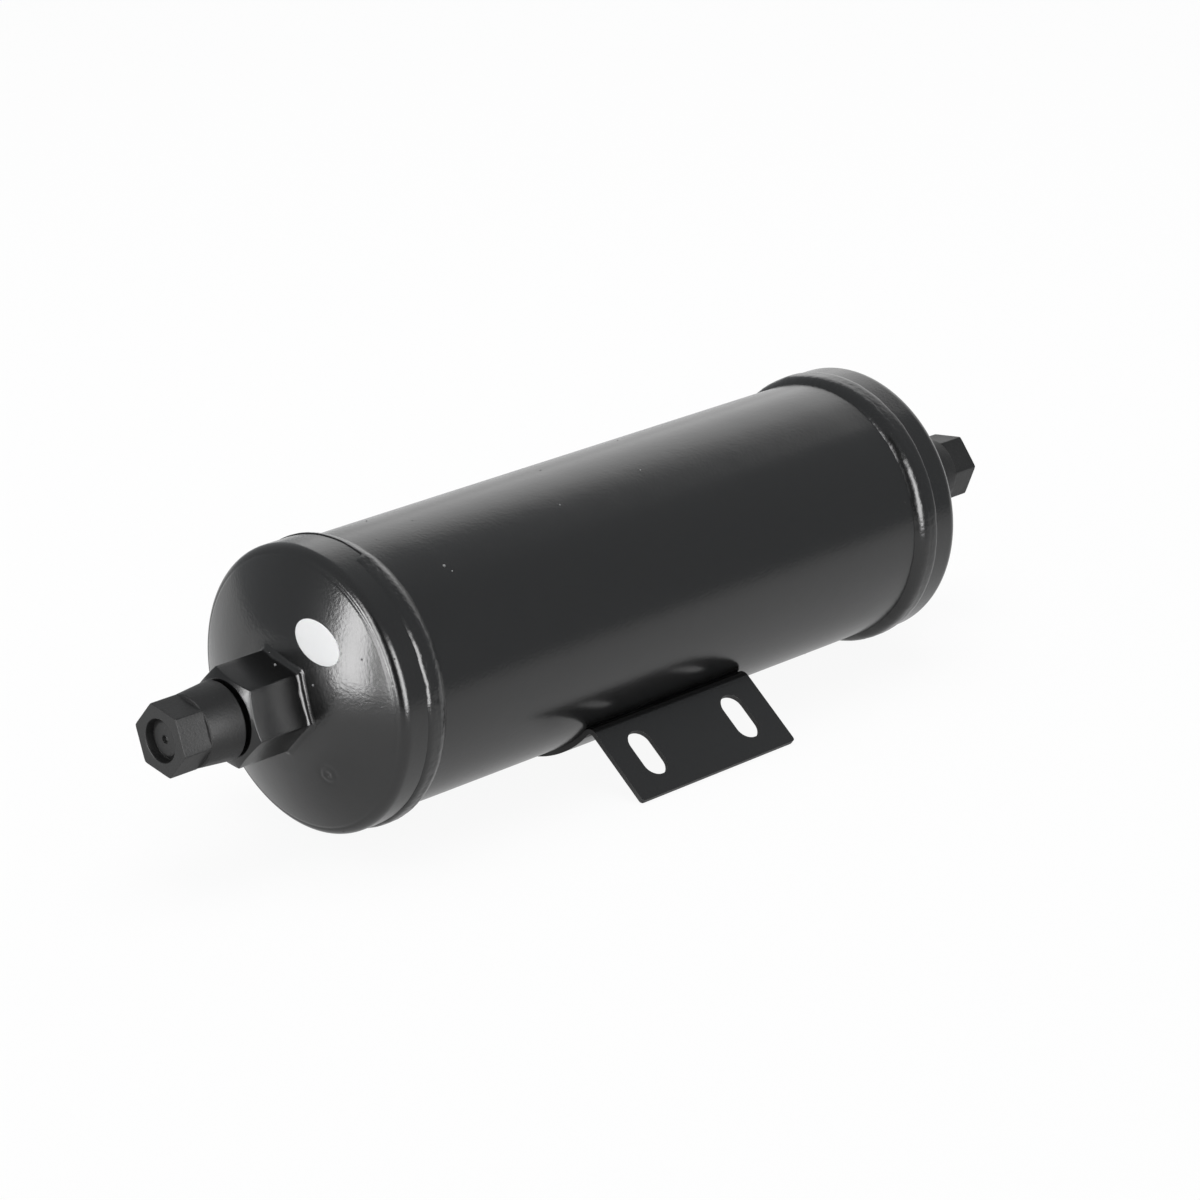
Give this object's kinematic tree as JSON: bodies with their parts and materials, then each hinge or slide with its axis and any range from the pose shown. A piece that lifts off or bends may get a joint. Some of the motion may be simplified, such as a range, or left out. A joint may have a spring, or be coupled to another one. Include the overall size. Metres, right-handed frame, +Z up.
{
  "type": "receiver drier",
  "caption": "Black welded steel receiver drier canister with dished ends, axial threaded ports under screw caps, and a slotted side bracket, lying on its side.",
  "frame": {"origin": "middle of the floor rectangle under the whole object, with the canister resting on its two weld crests and the flange's outer edge", "axes": "+X along the canister from inlet to outlet, +Z up, and the bracket's flange reaches out and down towards -Y"},
  "size_m": [0.3086, 0.0914, 0.0814],
  "materials": {
    "black_gloss_paint": "smooth black gloss paint over welded steel",
    "black_fitting_paint": "thin black paint over turned steel",
    "black_cap_plastic": "moulded black polyethylene, matte",
    "seal_rubber": "smooth black seal rubber",
    "sticker_paper": "plain white gloss paper",
    "spring_steel": "drawn spring wire",
    "plain_steel": "pressed bare steel sheet",
    "felt": "pressed felt",
    "drying_beads": "packed round beads"
  },
  "bodies": {
    "canister": {"shell_tube": "black_gloss_paint", "inlet_end_cap": "black_gloss_paint", "outlet_end_cap": "black_gloss_paint", "inlet_weld_bead": "black_gloss_paint", "outlet_weld_bead": "black_gloss_paint", "inlet_fitting": "black_fitting_paint", "outlet_fitting": "black_fitting_paint", "inlet_braze_ring": "black_gloss_paint", "outlet_braze_ring": "black_gloss_paint", "inlet_o_ring": "seal_rubber", "outlet_o_ring": "seal_rubber", "mounting_bracket": "black_gloss_paint", "oval_sticker": "sticker_paper", "compression_spring": "spring_steel", "inlet_perforated_plate": "plain_steel", "outlet_perforated_plate": "plain_steel", "inlet_filter_pad": "felt", "outlet_filter_pad": "felt", "desiccant_bed": "drying_beads", "outlet_strainer": "plain_steel"},
    "inlet_cap": {"inlet_port_cap": "black_cap_plastic"},
    "outlet_cap": {"outlet_port_cap": "black_cap_plastic"}
  },
  "joints": [
    {"name": "inlet_cap_removal", "type": "slide", "parent": "canister", "child": "inlet_cap", "axis": [-1, 0, 0], "range_m": [0, 0.03]},
    {"name": "outlet_cap_removal", "type": "slide", "parent": "canister", "child": "outlet_cap", "axis": [1, 0, 0], "range_m": [0, 0.03]}
  ]
}
